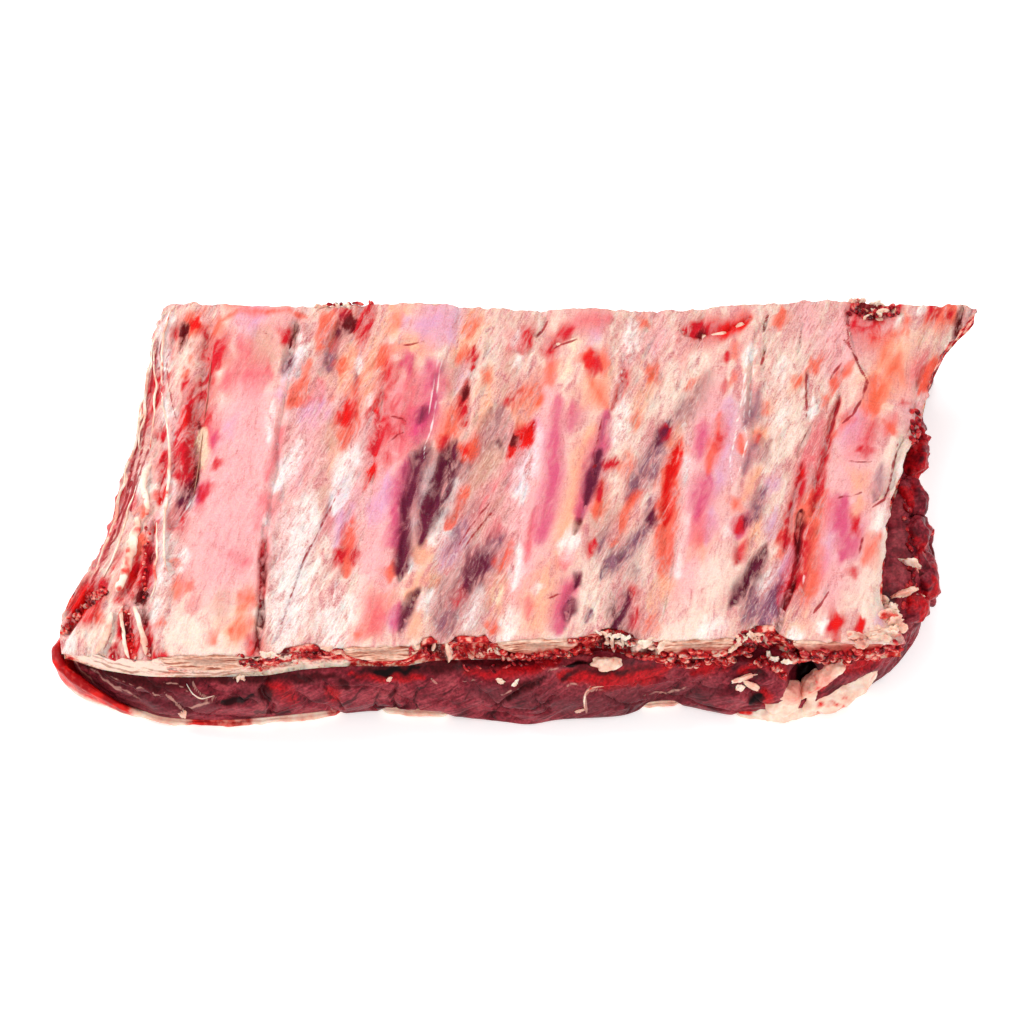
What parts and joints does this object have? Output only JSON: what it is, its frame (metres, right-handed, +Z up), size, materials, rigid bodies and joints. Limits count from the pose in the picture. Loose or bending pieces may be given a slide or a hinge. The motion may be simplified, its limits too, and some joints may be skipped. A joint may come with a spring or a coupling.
{
  "type": "raw beef short ribs",
  "caption": "Raw plate of beef short ribs lying bone side up: flat rib bones set in marbled rib meat, over a thick plate muscle with a thin fat cap.",
  "frame": {"origin": "middle of the underside of the fat cap, on the surface that the meat lies on", "axes": "+X across the ribs to the right, +Y along the ribs to the back cut, +Z up out of the bone side"},
  "size_m": [0.4308, 0.2098, 0.0529],
  "materials": {
    "rib_meat": "moist membrane over marbled raw meat",
    "bone": "pink membrane over raw bone",
    "muscle": "moist dark red raw muscle",
    "fat": "waxy pale beef fat"
  },
  "bodies": {
    "root": {"rib_meat": "rib_meat", "rib_bone_1": "bone", "rib_bone_2": "bone", "rib_bone_3": "bone", "rib_bone_4": "bone", "rib_bone_5": "bone", "plate_muscle": "muscle", "fat_cap": "fat"}
  },
  "joints": []
}
